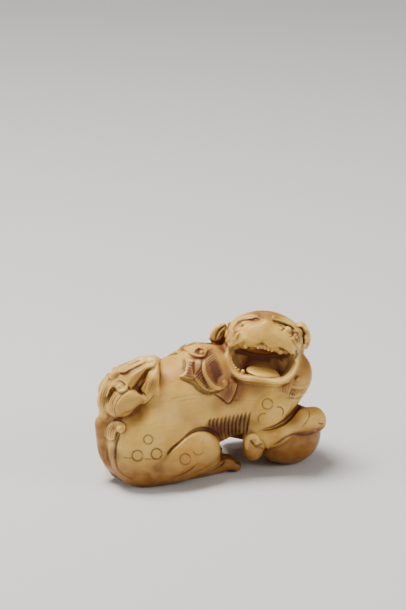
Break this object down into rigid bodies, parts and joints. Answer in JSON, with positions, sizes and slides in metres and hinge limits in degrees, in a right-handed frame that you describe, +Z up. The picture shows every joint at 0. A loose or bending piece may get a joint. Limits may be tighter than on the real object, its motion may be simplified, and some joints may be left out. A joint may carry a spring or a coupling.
{
  "type": "netsuke",
  "caption": "Ivory netsuke carved in the round: a crouching lion-dog with an open mouth, its forepaws on a ball, a scrolled mane and a bushy tail laid over its rump.",
  "frame": {"origin": "on the surface that the netsuke rests on, under the middle of its bounding box", "axes": "+X along the animal toward its forepaws, +Y toward the flank its head is turned away from, +Z up"},
  "size_m": [0.0502, 0.0242, 0.0335],
  "materials": {
    "ivory": "polished ivory, satin to gloss, amber where it is worn and purple-brown in the cuts"
  },
  "bodies": {
    "root": {"netsuke": "ivory"}
  },
  "joints": []
}
